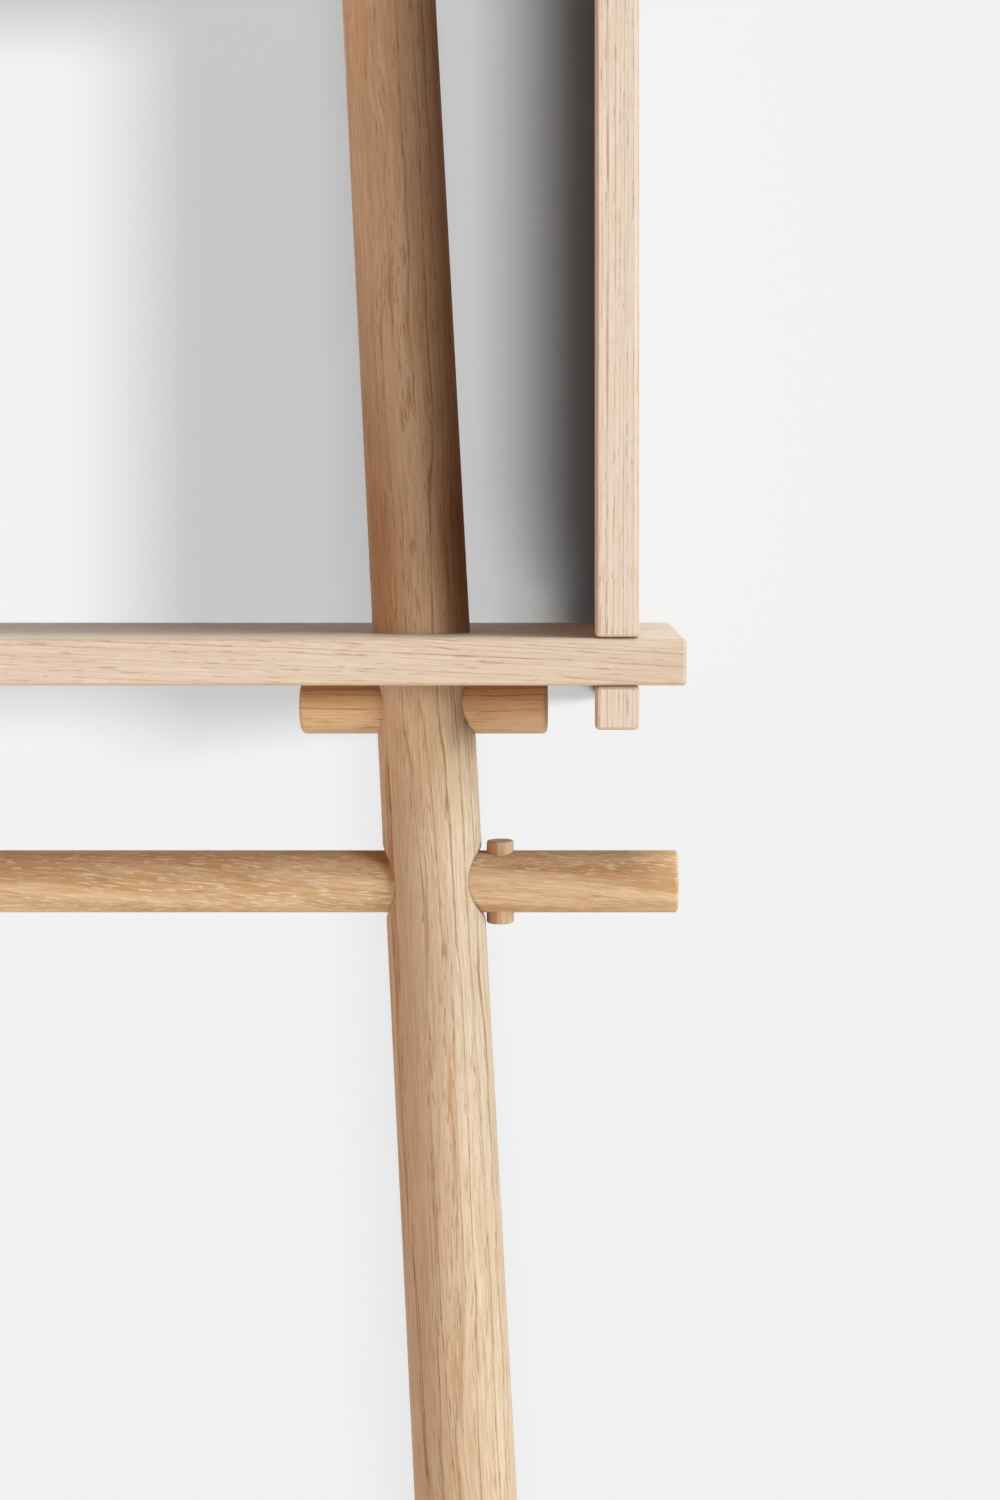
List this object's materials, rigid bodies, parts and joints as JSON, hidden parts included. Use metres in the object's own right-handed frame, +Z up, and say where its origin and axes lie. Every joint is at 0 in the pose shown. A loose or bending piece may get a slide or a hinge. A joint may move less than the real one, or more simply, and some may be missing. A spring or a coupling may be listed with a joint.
{
  "type": "leaning ladder shelf",
  "caption": "Leaning oak ladder shelf: splayed round poles pass through an open-backed box and a low shelf, with a pegged hanging rail under the box.",
  "frame": {"origin": "on the floor, in the middle of the width and of the depth", "axes": "+X to the right as seen from the front, +Y back towards the wall, +Z up"},
  "size_m": [0.9996, 0.3708, 2.0022],
  "materials": {
    "board_oak": "oiled pale oak board with straight grain, softened edges",
    "pole_oak": "oiled oak turned round, grain along the rod",
    "rod_oak": "warmer oiled oak turned round, with flecks",
    "foot_rubber": "matt moulded rubber",
    "wall_felt": "pressed wool felt",
    "bracket_steel": "zinc-plated sheet steel and screws"
  },
  "bodies": {
    "frame": {"left_pole": "pole_oak", "right_pole": "pole_oak", "box_bottom_board": "board_oak", "box_top_board": "board_oak", "box_left_side": "board_oak", "box_right_side": "board_oak", "left_box_dowel": "rod_oak", "right_box_dowel": "rod_oak", "low_shelf": "board_oak", "left_low_dowel": "rod_oak", "right_low_dowel": "rod_oak", "left_foot_pad": "foot_rubber", "right_foot_pad": "foot_rubber", "wall_pads": "wall_felt", "left_wall_bracket": "bracket_steel", "right_wall_bracket": "bracket_steel", "bracket_screws": "bracket_steel"},
    "rail": {"hanging_rail": "rod_oak"},
    "left_peg": {"left_rail_peg": "pole_oak"},
    "right_peg": {"right_rail_peg": "pole_oak"}
  },
  "joints": [
    {"name": "rail_turn", "type": "hinge", "parent": "frame", "child": "rail", "pos_m": [0, 0.05783, 1.399], "axis": [1, 0, 0], "range_deg": [-150, 150]},
    {"name": "left_peg_pull", "type": "slide", "parent": "rail", "child": "left_peg", "axis": [0, 0, 1], "range_m": [0, 0.029]},
    {"name": "right_peg_pull", "type": "slide", "parent": "rail", "child": "right_peg", "axis": [0, 0, 1], "range_m": [0, 0.029]}
  ]
}
